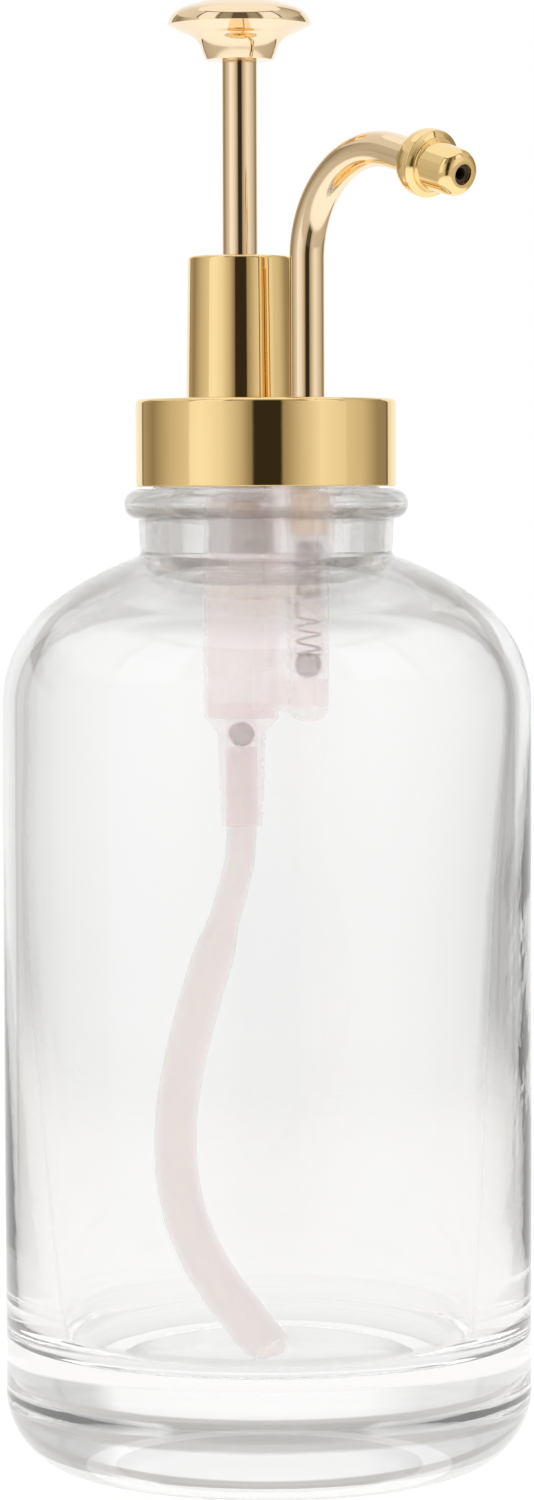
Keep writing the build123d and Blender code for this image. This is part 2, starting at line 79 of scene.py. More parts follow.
# Spout. The bell's and the nose's heights are along the tube, from the end of its bend
SPOUT_R, SPOUT_WALL, SPOUT_LOW, SPOUT_STRAIGHT, BEND_R, SPOUT_DIP = 2.7, 0.8, 145.4, 187.3, 16.0, 15.5
BELL_R, BELL_START, BELL_END, BELL_FACE, TUBE_END = 5.12, 4.7, 8.5, 9.35, 7.3
NOSE_BORE_R, NOSE_ROUND, NOSE_BACK, NOSE_STEP, NOSE_FRONT = 1.55, 1.8, 7.6, 9.75, 15.95

# The photograph's camera: degrees and metres, and a focal length in pixels of the picture
CAMERA_TURN, CAMERA_TILT, CAMERA_ROLL = 50.0, 2.92, -0.19
CAMERA_AWAY, CAMERA_UP = 0.8, 0.1525
SENSOR, FOCAL_PIXELS, PICTURE_HEIGHT = 36.0, 5157, 1500


def wave(seed, count, low, high):
    """A smooth seeded function of an angle and a height, from a few sines; it stays near -1 to 1."""
    rng = np.random.default_rng(seed)
    around = rng.integers(low, high, count)
    tall = rng.uniform(0.03, 0.16, count)
    phase = rng.uniform(0, 2 * math.pi, count)
    sign = rng.choice((-1, 1), count)
    size = rng.uniform(0.5, 1, count)
    size /= size.sum()
    return lambda a, z: sum(s * np.sin(n * a + g * k * z + p)
                            for s, n, g, k, p in zip(size, around, sign, tall, phase))


def arc(cx, cz, r, start, end, count):
    """Points (r, z, 0) on an arc, angles in degrees from the outward direction."""
    angles = np.radians(np.linspace(start, end, count))
    return [(cx + r * math.cos(a), cz + r * math.sin(a), 0) for a in angles]


def bulged(start, end, bulge, count=14):
    """Points of an arc between two points that stands out from their chord, on its left side."""
    (x0, z0), (x1, z1) = start, end
    length = math.dist(start, end)
    nx, nz = -(z1 - z0) / length, (x1 - x0) / length
    share = np.linspace(0, 1, count)
    return [(x0 + (x1 - x0) * t + nx * 4 * bulge * t * (1 - t),
             z0 + (z1 - z0) * t + nz * 4 * bulge * t * (1 - t), 0) for t in share]


def rounded(corners, count=6):
    """A closed outline from (r, z, round) corners, each rounded by its radius where its edges have room."""
    out = []
    for i, (x, z, r) in enumerate(corners):
        if r <= 0:
            out.append((x, z))
            continue
        here = np.array((x, z))
        before = np.array(corners[i - 1][:2]) - here
        after = np.array(corners[(i + 1) % len(corners)][:2]) - here
        reach_b, reach_a = np.linalg.norm(before), np.linalg.norm(after)
        before, after = before / reach_b, after / reach_a
        half = math.acos(np.clip(before @ after, -1, 1)) / 2
        cut = min(r / math.tan(half), 0.49 * reach_b, 0.49 * reach_a)
        r = cut * math.tan(half)
        middle = before + after
        centre = here + middle / np.linalg.norm(middle) * r / math.sin(half)
        first, last = here + before * cut - centre, here + after * cut - centre
        a0 = math.atan2(first[1], first[0])
        turn = (math.atan2(last[1], last[0]) - a0 + math.pi) % (2 * math.pi) - math.pi
        out += [tuple(centre + r * np.array((math.cos(a0 + turn * t), math.sin(a0 + turn * t))))
                for t in np.linspace(0, 1, count)]
    return out


def divided(outline, step_of):
    """The same outline with no stretch longer than step_of(start, end) allows."""
    out = []
    for start, end in zip(outline, outline[1:] + outline[:1]):
        (x0, z0), (x1, z1) = start, end
        parts = max(1, math.ceil(math.dist(start, end) / step_of(start, end)))
        out += [(x0 + (x1 - x0) * k / parts, z0 + (z1 - z0) * k / parts) for k in range(parts)]
    return out


def smooth(mesh, angle=32):
    """Smooth shading with sharp edges above an angle."""
    mesh.shade_smooth()
    mesh.set_sharp_from_angle(angle=math.radians(angle))
    return mesh


def turned(name, outline, at=(0, 0), turns=TURNS, shape=None, place=None):
    """A mesh turned about +Z from a closed (r, z) outline; shape(angles, r, z) gives its radii at a height."""
    rings, verts = [], []
    angles = np.linspace(0, 2 * math.pi, turns, endpoint=False)
    for r, z in outline:
        if r < 1e-6:
            rings.append([len(verts)] * turns)
            verts.append((0, 0, z))
            continue
        radius = np.full(turns, r) if shape is None else shape(angles, r, z)
        rings.append(list(range(len(verts), len(verts) + turns)))
        verts += list(zip(radius * np.cos(angles), radius * np.sin(angles), np.full(turns, z)))
    faces = []
    for low, high in zip(rings, rings[1:] + rings[:1]):
        if low[0] == low[1] and high[0] == high[1]:
            continue
        for i in range(turns):
            j = (i + 1) % turns
            faces.append(list(dict.fromkeys([low[i], low[j], high[j], high[i]])))
    mesh = bpy.data.meshes.new(name)
    mesh.from_pydata([(x * MM, y * MM, z * MM) for x, y, z in verts], [], faces)
    mesh.transform(place if place is not None else Matrix.Translation((at[0] * MM, at[1] * MM, 0)))
    mesh.validate()
    return smooth(mesh)


def swept(name, path, radii, sides=64, wall=0.0):
    """A tube along a path of points, with a radius at each; with a wall it is hollow, open at both ends."""
    path = [Vector(p) for p in path]
    tangents = [(b - a).normalized() for a, b in zip([path[0]] + path[:-1], path[1:] + [path[-1]])]
    side = tangents[0].orthogonal().normalized()
    turn = [(math.cos(a), math.sin(a)) for a in np.linspace(0, 2 * math.pi, sides, endpoint=False)]
    outside, inside = [], []
    for point, along, radius in zip(path, tangents, radii):
        side = (side - along * side.dot(along)).normalized()
        up = along.cross(side)
        outside += [point + (side * c + up * s) * radius for c, s in turn]
        inside += [point + (side * c + up * s) * (radius - wall) for c, s in turn]
    faces = []

    def join(first, second, flip):
        """Faces between two rings of points, named by their first point."""
        for i in range(sides):
            j = (i + 1) % sides
            quad = [first + i, first + j, second + j, second + i]
            faces.append(quad[::-1] if flip else quad)

    inner, last = len(outside), (len(path) - 1) * sides
    for ring in range(0, last, sides):
        join(ring, ring + sides, False)
    if wall > 0:
        for ring in range(inner, inner + last, sides):
            join(ring, ring + sides, True)
        join(0, inner, True)
        join(last, inner + last, False)
        outside += inside
    else:
        faces.append(list(range(sides))[::-1])
        faces.append(list(range(last, last + sides)))
    mesh = bpy.data.meshes.new(name)
    mesh.from_pydata([tuple(v * MM) for v in outside], [], faces)
    mesh.validate()
    return smooth(mesh, 50)


def piece(name, mesh, body, slot, material, *nodes):
    """A finished piece on its body, in place of its CAD nodes."""
    obj = bpy.data.objects.new(name, mesh)
    bpy.context.scene.collection.objects.link(obj)
    mesh.materials.append(material)
    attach(obj, body)
    if nodes:
        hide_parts(*nodes)
    return obj


# Materials

def node(tree, kind, inputs=None, **settings):
    """A new node with its settings, and its inputs set or linked."""
    made = tree.nodes.new("ShaderNode" + kind)
    for key, value in settings.items():
        setattr(made, key, value)
    for key, value in (inputs or {}).items():
        if isinstance(value, bpy.types.NodeSocket):
            tree.links.new(value, made.inputs[key])
        else:
            made.inputs[key].default_value = value
    return made


def noise(tree, where, scale, detail=3.0, rough=0.5):
    """Noise in the piece's own coordinates, about one feature per 1/scale metres."""
    made = node(tree, "TexNoise", {"Vector": where, "Scale": scale, "Detail": detail, "Roughness": rough})
    return made.outputs["Fac"]


def spread(tree, value, low, high, start=0.3, end=0.7):
    """Maps a stretch of a value, by default the middle of a noise's range, onto low to high."""
    return node(tree, "MapRange", {"Value": value, "From Min": start, "From Max": end,
                                   "To Min": low, "To Max": high}).outputs[0]


def finish(name, colours, rough, scale, fine, bump, depth=0.00002, **sockets):
    """A Principled material whose colour, roughness and surface vary by a broad and a fine noise."""
    material = bpy.data.materials.new(name)
    material.use_nodes = True
    tree = material.node_tree
    shader = tree.nodes["Principled BSDF"]
    where = node(tree, "TexCoord").outputs["Object"]
    broad = noise(tree, where, scale)
    small = noise(tree, where, fine, 4.0, 0.6)
    blend = node(tree, "Mix", {"Factor": spread(tree, broad, 0, 1)}, data_type="RGBA")
    blend.inputs["A"].default_value = (*colours[0], 1)
    blend.inputs["B"].default_value = (*colours[1], 1)
    tree.links.new(blend.outputs["Result"], shader.inputs["Base Color"])
    both = node(tree, "Math", {0: broad, 1: small, 2: 0.25}, operation="MULTIPLY_ADD")
    tree.links.new(spread(tree, both.outputs[0], *rough), shader.inputs["Roughness"])
    raised = node(tree, "Bump", {"Height": small, "Strength": bump, "Distance": depth})
    tree.links.new(raised.outputs["Normal"], shader.inputs["Normal"])
    for key, value in sockets.items():
        shader.inputs[key.replace("_", " ")].default_value = value
    return material


# Where the bottle's bottom is stippled, and where its heel and its neck show fainter: heights in metres
# between which the change runs, and the roughness or the alpha on its far side
STIPPLED = (0.0017, 0.0017 * 1.25, 0.2)
HEEL_PALE = (0.012, 0.012 * 1.3, 0.8)
NECK_PALE = (0.132, 0.132 * 1.04, 0.68)


def by_height(material):
    """Rough at the foot, like a moulded bottle's stippled bottom, and fainter in the heel and at the neck."""
    tree = material.node_tree
    shader = tree.nodes["Principled BSDF"]
    height = node(tree, "SeparateXYZ", {0: node(tree, "TexCoord").outputs["Object"]}).outputs["Z"]
    frost = spread(tree, height, STIPPLED[2], 0.0, *STIPPLED[:2])
    even = shader.inputs["Roughness"].links[0].from_socket
    rough = node(tree, "Math", {0: even, 1: frost}, operation="ADD").outputs[0]
    tree.links.new(rough, shader.inputs["Roughness"])
    neck = spread(tree, height, 1.0, NECK_PALE[2], *NECK_PALE[:2])
    heel = spread(tree, height, HEEL_PALE[2], 1.0, *HEEL_PALE[:2])
    alpha = node(tree, "Math", {0: neck, 1: heel}, operation="MULTIPLY").outputs[0]
    tree.links.new(alpha, shader.inputs["Alpha"])
    return material


def lets_light_in(material, share):
    """Lets shadow rays through a clear material, so that what stands inside is lit."""
    tree = material.node_tree
    is_shadow = node(tree, "LightPath").outputs["Is Shadow Ray"]
    through = node(tree, "BsdfTransparent", {"Color": (share, share, share, 1)})
    surface = tree.nodes["Principled BSDF"].outputs[0]
    mixed = node(tree, "MixShader", {0: is_shadow, 1: surface, 2: through.outputs[0]})
    tree.links.new(mixed.outputs[0], tree.nodes["Material Output"].inputs["Surface"])
    return material


GLASS = finish("clear_glass", ((0.995, 0.995, 0.993), (0.985, 0.987, 0.984)), rough=(0.0, 0.01),
               scale=25.0, fine=45.0, bump=0.1, depth=0.0003, IOR=1.5, Transmission_Weight=1.0)
GLASS = lets_light_in(by_height(GLASS), 0.95)
GOLD = finish("polished_gold", ((0.98, 0.745, 0.375), (0.96, 0.72, 0.345)), rough=(0.015, 0.045),
              scale=40.0, fine=260.0, bump=0.04, depth=0.0001, Metallic=1.0)
ROSE = finish("champagne_gold", ((0.965, 0.78, 0.55), (0.945, 0.755, 0.52)), rough=(0.015, 0.05),
              scale=50.0, fine=300.0, bump=0.04, depth=0.0001, Metallic=1.0)
STEEL = finish("polished_steel", ((0.62, 0.61, 0.6), (0.52, 0.51, 0.5)), rough=(0.12, 0.25),
               scale=300.0, fine=1500.0, bump=0.1, Metallic=1.0)
CLEAR = finish("natural_plastic", ((0.99, 0.86, 0.86), (0.98, 0.845, 0.845)), rough=(0.22, 0.36),
               scale=90.0, fine=500.0, bump=0.08, depth=0.0001,
               IOR=1.49, Subsurface_Weight=0.35, Subsurface_Scale=0.003, Alpha=0.2)
TUBE = finish("soft_tube", ((0.998, 0.91, 0.905), (0.99, 0.895, 0.89)), rough=(0.3, 0.45),
              scale=70.0, fine=600.0, bump=0.15, depth=0.0001,
              IOR=1.5, Subsurface_Weight=0.4, Subsurface_Scale=0.003, Alpha=0.36)
WHITE = finish("white_plastic", ((0.82, 0.81, 0.79), (0.78, 0.77, 0.75)), rough=(0.35, 0.5),
               scale=120.0, fine=900.0, bump=0.15)
SEAL = finish("soft_seal", ((0.72, 0.71, 0.69), (0.66, 0.65, 0.63)), rough=(0.5, 0.7),
              scale=150.0, fine=1200.0, bump=0.3)
DARK = finish("dark_insert", ((0.045, 0.024, 0.02), (0.028, 0.014, 0.012)), rough=(0.3, 0.5),
              scale=300.0, fine=1500.0, bump=0.3)

# Bottle

inner_wave = wave(11, 7, 1, 5)
INNER_WAVE = 0.07
# Where the inner wall is uneven: from this far above the floor, up to a height, fading over a length
UNEVEN_FROM, UNEVEN_TO, UNEVEN_FADE = 3, 140, 12
# How far the inner wall stands from a true cone, by height, on the camera's right and on its left
WALL_RIGHT = ((24, -0.2), (45, -0.4), (62, -0.65), (88, -0.7), (104, -0.3), (114, 0))
WALL_LEFT = ((24, 0), (50, 0.1), (70, 0.3), (82, 0.4), (96, 0.3), (112, 0))


def wall_shift(angles, z):
    """The hand of the mould: how the inner wall drifts in and out at a height, widest on two sides."""
    right, left = (np.interp(z, *zip(*stops)) for stops in (WALL_RIGHT, WALL_LEFT))
    facing = np.cos(angles - math.radians(CAMERA_TURN))
    return right * np.clip(facing, 0, 1) ** 5 + left * np.clip(-facing, 0, 1) ** 4


def thread_height(angles, z, low, high, start, width=0.30):
    """Share of the thread's height at the angles of one height, for one helix that fades out at both ends."""
    z_of = low + THREAD_LEAD * ((angles - start) / (2 * math.pi))
    total = np.zeros_like(angles)
    for k in range(-1, 4):
        middle = z_of + k * THREAD_LEAD
        inside = np.clip((middle - low) / THREAD_FADE, 0, 1) * np.clip((high - middle) / THREAD_FADE, 0, 1)
        off = np.abs(z - middle) / (THREAD_LEAD * width)
        total = np.maximum(total, inside * np.clip(1.6 - 1.6 * off, 0, 1) ** 0.8 * (off < 1))
    return np.minimum(total, 1)


def glass_radius(angles, r, z):
    """The bottle's radii at a height: threaded on the finish, uneven on the inner wall, true elsewhere."""
    if abs(r - FINISH_R) < 0.01 and THREAD_ZONE[0] < z < THREAD_ZONE[1]:
        return r + THREAD_H * thread_height(angles, z, *THREAD_RUN, THREAD_START)
    if BORE_R + 2 < r < BODY_R - 2 and FLOOR_Z + UNEVEN_FROM < z < UNEVEN_TO:
        fade = min(1, (z - FLOOR_Z - UNEVEN_FROM) / UNEVEN_FADE, (UNEVEN_TO - z) / UNEVEN_FADE)
        return r + fade * (INNER_WAVE * inner_wave(angles, z) + wall_shift(angles, z))
    return np.full(len(angles), r)


def glass_step(start, end):
    """The longest stretch of the bottle's outline: short along the thread, and of any length at the axis."""
    if min(start[0], end[0]) <= 1:
        return math.inf
    return THREAD_STEP if abs(start[0] - FINISH_R) < 0.01 and start[1] > BEAD_Z else WALL_STEP


def bottle_outline():
    """Closed (r, z) outline of the glass: the push-up, up the outside, over the rim and down the inside."""
    low_x = BODY_R - LOW_R
    turn = math.radians(LOW_TURN)
    high_x, high_z = low_x - (HIGH_R - LOW_R) * math.cos(turn), BODY_TOP - (HIGH_R - LOW_R) * math.sin(turn)
    outer_end = math.degrees(math.acos((NECK_R - high_x) / HIGH_R))
    inner_high = HIGH_R - WALL
    inner_end = math.degrees(math.acos((BORE_R - high_x) / inner_high))
    neck_z = high_z + HIGH_R * math.sin(math.radians(outer_end))
    bore_z = high_z + inner_high * math.sin(math.radians(inner_end))
    wall_r = ((BODY_R - WALL - FLOOR_R) ** 2 + (BODY_TOP - FLOOR_Z) ** 2) / (2 * (BODY_R - WALL - FLOOR_R))
    wall = [(BODY_R - WALL - wall_r + math.sqrt(wall_r ** 2 - (BODY_TOP - z) ** 2), z, 0)
            for z in np.linspace(BODY_TOP - 2, FLOOR_Z + 9, 40)]
    corners = [
        (0, PUSH_UP_Z, 0), *bulged((0, PUSH_UP_Z), (PUSH_UP_R, 0), 0.35)[1:],
        *arc(BODY_R - HEEL_R, HEEL_R, HEEL_R, -90, 0, 30), *arc(low_x, BODY_TOP, LOW_R, 0, LOW_TURN, 26),
        *arc(high_x, high_z, HIGH_R, LOW_TURN, outer_end, 14)[1:-1], (NECK_R, neck_z, 1.2),
        *arc(BEAD_R - BEAD_ROUND, BEAD_Z, BEAD_ROUND, -86, 90, 26), (FINISH_R, BEAD_Z + BEAD_ROUND, 0.3),
        (FINISH_R, RIM_Z, 0.8), (BORE_R, RIM_Z, 0.8), (BORE_R, bore_z, 3.0),
        *arc(high_x, high_z, inner_high, inner_end, LOW_TURN, 14)[2:],
        *arc(low_x, BODY_TOP, LOW_R - WALL, LOW_TURN, 0, 22)[1:], *wall,
        (FLOOR_R, FLOOR_Z, 7.0), (0, FLOOR_Z, 0),
    ]
    return divided(rounded(corners, 12), glass_step)


piece("glass_bottle", turned("glass_bottle", bottle_outline(), turns=GLASS_TURNS, shape=glass_radius),
      "bottle", "glass", GLASS, "bottle")

# Collar

piece("collar_band", turned("collar_band", rounded([
    (COLLAR_R, COLLAR_LOW, 0.22), (COLLAR_R, COLLAR_TOP, 0.75), (COLLAR_MOUTH_R, COLLAR_TOP, 0.2),
    (COLLAR_MOUTH_R, COLLAR_LID_Z, 0.1), (COLLAR_R - COLLAR_WALL, COLLAR_LID_Z, 0.1),
    (COLLAR_R - COLLAR_WALL, COLLAR_LOW, 0.2)], 8)), "collar", "gold", GOLD, "collar_shell")


def cap_radius(angles, r, z):
    """The cap's radii at a height: threaded on its inner wall, true elsewhere."""
    if abs(r - CAP_INNER_R) < 0.01 and CAP_THREAD_ZONE[0] < z < CAP_THREAD_ZONE[1]:
        return r - CAP_THREAD_H * thread_height(angles, z, *CAP_THREAD_RUN, THREAD_START + math.pi)
    return np.full(len(angles), r)


cap_corners = [(CAP_R, CAP_LOW, 0.2), (CAP_R, CAP_TOP, 0.2), (CAP_MOUTH_R, CAP_TOP, 0.15),
               (CAP_MOUTH_R, CAP_LID_Z, 0.15), (CAP_INNER_R, CAP_LID_Z, 0.1), (CAP_INNER_R, CAP_LOW, 0.3)]
cap_outline = divided(rounded(cap_corners, 4), lambda start, end: CAP_STEP)
piece("collar_cap_threaded", turned("collar_cap_threaded", cap_outline, shape=cap_radius),
      "collar", "white_plastic", WHITE, "collar_cap")

# Barrel, rod, knob

piece("barrel", turned("barrel", rounded([
    (BARREL_FOOT_R, BARREL_LOW, 0.1), (BARREL_R, BARREL_TOP, 0.55), (BARREL_HOLE_R, BARREL_TOP, 0.25),
    (BARREL_HOLE_R, BARREL_LID_Z, 0.1), (BARREL_INNER_R, BARREL_LID_Z, 0.1),
    (BARREL_INNER_R, BARREL_LOW, 0.1)], 8), (PLUNGER_X, 0)), "pump_body", "gold", GOLD, "barrel_sleeve")
piece("rod", turned("rod", rounded([
    (0, ROD_LOW, 0), (ROD_R, ROD_LOW, 0.3), (ROD_R, ROD_TOP, 0.2), (0, ROD_TOP, 0)]),
    (PLUNGER_X, 0)), "plunger", "rose_gold", ROSE, "plunger_rod")
piece("knob", turned("knob", rounded([
    *bulged((0, KNOB_Z + 4.05), (9.0, KNOB_Z + 2.6), 0.55, 24)[:-1],
    *bulged((9.0, KNOB_Z + 2.6), (KNOB_R, KNOB_Z), 0.5), (8.6, KNOB_Z - 1.3, 0),
    *bulged((8.6, KNOB_Z - 1.3), (5.75, KNOB_Z - 4.2), -0.6)[1:], (5.25, KNOB_Z - 5.5, 0.2),
    (KNOB_SOCKET_R, KNOB_Z - 5.5, 0.1), (KNOB_SOCKET_R, KNOB_Z - 0.6, 0), (0, KNOB_Z - 0.6, 0)]),
    (PLUNGER_X, 0)), "plunger", "rose_gold", ROSE, "press_knob")

# Spout

bend = [(SPOUT_X + BEND_R * (1 - math.cos(a)), 0, SPOUT_STRAIGHT + BEND_R * math.sin(a))
        for a in np.radians(np.linspace(0, 90 + SPOUT_DIP, 60))]
dip = math.radians(SPOUT_DIP)
out_dir = Vector((math.cos(dip), 0, -math.sin(dip)))
bend_end = Vector(bend[-1])
spout_path = [(SPOUT_X, 0, z) for z in np.linspace(SPOUT_LOW, SPOUT_STRAIGHT, 12)[:-1]] + bend + [
    tuple(bend_end + out_dir * t) for t in (1.5, 3.5, 5.5, TUBE_END)]
piece("spout", swept("spout", spout_path, [SPOUT_R] * len(spout_path), 72, SPOUT_WALL),
      "pump_body", "rose_gold", ROSE, "spout_tube")
on_nozzle = Matrix.Translation(bend_end * MM) @ Matrix.Rotation(math.radians(90 + SPOUT_DIP), 4, "Y")
piece("nozzle_collar", turned("nozzle_collar", rounded([
    (2.72, BELL_START, 0.05), (3.1, BELL_START, 0.1),
    *bulged((3.1, BELL_START), (BELL_R, BELL_END), -0.8, 24)[1:],
    (5.15, 8.66, 0), (5.1, 8.8, 0.1), (4.62, 9.05, 0), (4.42, 9.2, 0), (4.2, BELL_FACE, 0.05),
    (2.6, BELL_FACE, 0.1), (2.6, TUBE_END, 0), (2.72, TUBE_END, 0)]), place=on_nozzle),
    "pump_body", "gold", GOLD, "nozzle_bell")
piece("nozzle_nose", turned("nozzle_nose", rounded([
    (2.58, NOSE_BACK, 0.1), (2.58, BELL_FACE, 0), (4.1, 9.36, 0.05), (4.1, NOSE_STEP, 0.14),
    (3.74, NOSE_STEP, 0.25), *arc(1.78, 14.15, NOSE_ROUND, 0, 90, 12), (1.6, NOSE_FRONT, 0),
    (NOSE_BORE_R, 15.85, 0), (NOSE_BORE_R, NOSE_BACK, 0.1)], 12), place=on_nozzle),
    "pump_body", "gold", GOLD, "nozzle_tip")

# Springs


def spring(name, x, radius, wire, stretches, count=28):
    """A wire wound about +Z at x, through (turns, height) stretches that begin at a height of their own."""
    (_, z), path, angle = stretches[0], [], 0.0
    for turns, top in stretches[1:]:
        steps = max(2, round(turns * count))
        for k in range(steps):
            a = angle + 2 * math.pi * turns * k / steps
            path.append((x + radius * math.cos(a), radius * math.sin(a), z + (top - z) * k / steps))
        angle, z = angle + 2 * math.pi * turns, top
    path.append((x + radius * math.cos(angle), radius * math.sin(angle), z))
    return swept(name, path, [wire] * len(path), 12)


lift = piece("return_coil", spring("return_coil", PLUNGER_X, SPRING_COIL_R, SPRING_WIRE_R, [
    (0, SPRING_LOW + SPRING_WIRE_R), (0.9, SPRING_LOW + 0.75), (6.2, SPRING_TOP - 0.75),
    (0.9, SPRING_TOP - SPRING_WIRE_R)]), "pump_body", "steel", STEEL, "return_spring")
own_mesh(lift)
valve = piece("outlet_coil", spring("outlet_coil", SPOUT_X, OUTLET_COIL_R, OUTLET_WIRE_R, [
    (0, OUTLET_LOW + OUTLET_WIRE_R), (0.6, OUTLET_LOW + 0.3), (3.4, OUTLET_OPEN_TOP),
    (19.0, OUTLET_TOP - OUTLET_WIRE_R)]), "pump_body", "steel", STEEL, "outlet_spring")
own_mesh(valve)

# Dip tube

dip_bends = [Vector(p) for p in (
    (PLUNGER_X, 0, 111.76), (PLUNGER_X, 0, 95.1), (-7.0, -1.3, 88.5), (-9.5, -9.8, 62.5),
    (-5.3, -14.9, 46.7), (4.2, -17.6, 34.2), (19.5, -15.7, 21.7))]


def curve_through(bends, step=1.0):
    """A smooth line that leaves and ends straight, and touches the middle of each run between its bends."""
    middles = [(a + b) / 2 for a, b in zip(bends, bends[1:])]
    out = [bends[0]]
    for start, bend, end in zip(middles, bends[1:-1], middles[1:]):
        parts = max(4, round(((bend - start).length + (end - bend).length) / step))
        out += [start.lerp(bend, t).lerp(bend.lerp(end, t), t)
                for t in np.linspace(0, 1, parts, endpoint=False)]
    return out + [middles[-1], bends[-1]]


dip_path = curve_through(dip_bends)
along, gone = [0.0], 0.0
for a, b in zip(dip_path, dip_path[1:]):
    gone += (b - a).length
    along.append(gone)
knee = min(range(len(dip_path)), key=lambda k: (dip_path[k] - dip_bends[2]).length)
cone_at = along[knee] + DIP_CONE_AT
dip_radii = [DIP_NECK_R + (DIP_R - DIP_NECK_R) * min(1, max(0, (d - cone_at) / DIP_CONE_H)) for d in along]
piece("dip_hose", swept("dip_hose", dip_path, dip_radii, 56, DIP_WALL),
      "pump_body", "soft_tube", TUBE, "dip_tube")

# Camera

scene = bpy.context.scene
turn, tilt, roll = (math.radians(angle) for angle in (CAMERA_TURN, CAMERA_TILT, CAMERA_ROLL))
towards = Vector((math.sin(turn), -math.cos(turn), 0))
camera = bpy.data.objects.new("camera", bpy.data.cameras.new("camera"))
scene.collection.objects.link(camera)
scene.camera = camera
camera.data.sensor_width = SENSOR
camera.data.lens = SENSOR * FOCAL_PIXELS / PICTURE_HEIGHT
camera.location = towards * CAMERA_AWAY + Vector((0, 0, CAMERA_UP))
forward = -towards * math.cos(tilt) - Vector((0, 0, math.sin(tilt)))
aim = forward.to_track_quat("-Z", "Y") @ Matrix.Rotation(roll, 3, "Z").to_quaternion()
camera.rotation_euler = aim.to_euler()
camera.data.clip_start = 0.01

scene.view_settings.view_transform = "Standard"

scene.cycles.max_bounces = 24
scene.cycles.transmission_bounces = 20
scene.cycles.transparent_max_bounces = 32

# Floor: a pale disc that fades into the backdrop, in metres

DISC_R, DISC_SIDES, DISC_FADE = 0.45, 64, (0.2, 0.44)
PAPER, PAPER_ROUGH, PAPER_GLOW, GLOW_IN_GLASS = (0.3, 0.3, 0.3, 1), 0.9, 0.79, 0.63

floor = bpy.data.meshes.new("floor")
disc_angles = np.linspace(0, 2 * math.pi, DISC_SIDES, endpoint=False)
disc = [(DISC_R * math.cos(a), DISC_R * math.sin(a), 0) for a in disc_angles]
floor.from_pydata(disc, [], [list(range(DISC_SIDES))])
floor_obj = bpy.data.objects.new("floor", floor)
scene.collection.objects.link(floor_obj)
paper = bpy.data.materials.new("paper")
paper.use_nodes = True
tree = paper.node_tree
shader = tree.nodes["Principled BSDF"]
shader.inputs["Base Color"].default_value = PAPER
shader.inputs["Roughness"].default_value = PAPER_ROUGH
shader.inputs["Emission Color"].default_value = (1, 1, 1, 1)
seen_by = node(tree, "LightPath")
glow = node(tree, "MapRange", {"Value": seen_by.outputs["Is Transmission Ray"],
                               "To Min": PAPER_GLOW, "To Max": GLOW_IN_GLASS})
tree.links.new(glow.outputs[0], shader.inputs["Emission Strength"])
from_middle = node(tree, "VectorMath", {0: node(tree, "TexCoord").outputs["Object"]}, operation="LENGTH")
rim = node(tree, "MapRange", {"Value": from_middle.outputs["Value"], "From Min": DISC_FADE[0],
                              "From Max": DISC_FADE[1]}, interpolation_type="SMOOTHSTEP")
clear = node(tree, "BsdfTransparent").outputs[0]
faded = node(tree, "MixShader", {0: rim.outputs[0], 1: shader.outputs[0], 2: clear})
tree.links.new(faded.outputs[0], tree.nodes["Material Output"].inputs["Surface"])
floor.materials.append(paper)

# The studio, as (degrees from the camera's direction, positive on its right; brightness): level with the
# object, above it, below it, under its roof, and as the glass shows it. 19 of LEVEL's stops were read off the
# photograph: each is the brightness at one place across its gold collar, divided by the gold's own, at the
# angle that the collar mirrors there. The other tables were fitted by comparing renders with the photograph.
LEVEL = [(-180, 1), (-155, 0.98), (-143, 0.95), (-141.5, 0.2), (-139.5, 0.2), (-138, 0.43), (-119, 0.29),
         (-93, 0.6), (-72, 0.76), (-71, 0.96), (-59, 1), (-40, 0.88), (-21.7, 0.56), (-14.5, 0.32),
         (-11.8, 0.28), (-11, 0.035), (13.7, 0.035), (14.5, 0.34), (19, 0.4), (31.6, 0.66), (50.3, 0.93),
         (74.5, 0.82), (75.5, 0.74), (94, 0.64), (116, 0.33), (133, 0.3), (134, 0.12), (136, 0.12),
         (137.5, 0.84), (151, 0.99), (180, 1)]
ABOVE = [(-180, 1), (-140, 0.8), (-80, 0.75), (-78, 0.2), (-75, 0.25), (-73, 1), (-43, 1), (-40, 0.3),
         (-36, 0.25), (-31, 0.38), (-15, 0.36), (-11, 0.12), (14, 0.12), (18, 0.36), (31, 0.38), (36, 0.25),
         (40, 0.3), (43, 1), (73, 1), (75, 0.25), (78, 0.2), (80, 0.75), (132, 0.55), (139, 0.4),
         (146, 0.5), (152, 0.9), (180, 1)]
BELOW = [(-180, 1), (-143, 1), (-141, 0.15), (-138, 0.15), (-136, 0.5), (-90, 0.62), (-30, 0.66),
         (-15, 0.5), (-11, 0.09), (14, 0.09), (18, 0.5), (30, 0.66), (90, 0.6), (134, 0.5), (136, 0.15),
         (139, 0.15), (141, 1), (180, 1)]
ROOF = [(-180, 1), (-95, 1), (-80, 0.2), (80, 0.2), (95, 1), (180, 1)]
GLASSY = [(-180, 0.98), (-166, 0.96), (-155, 0.76), (-141.5, 0.74), (-140, 0.6), (-138.5, 0.7), (-120, 0.7),
          (-90, 0.8), (-40, 0.9), (-12, 0.78), (12, 0.78), (40, 0.9), (80, 0.7), (105, 0.58), (138.5, 0.56),
          (140, 0.42), (141.5, 0.54), (150, 0.58), (156, 0.95), (180, 0.98)]
# Where one gives way to the next, in degrees above the horizon
TO_ABOVE, TO_ROOF, TO_TOP, TO_BELOW, TO_FOOT = (24, 28), (52, 53.5), (55.5, 57), (-7, -11), (-26, -34)
GLASSY_TOP, GLASSY_FOOT, TOP_GREY, FOOT_SHARE = (30, 50), (1, -14), 0.9, 0.93
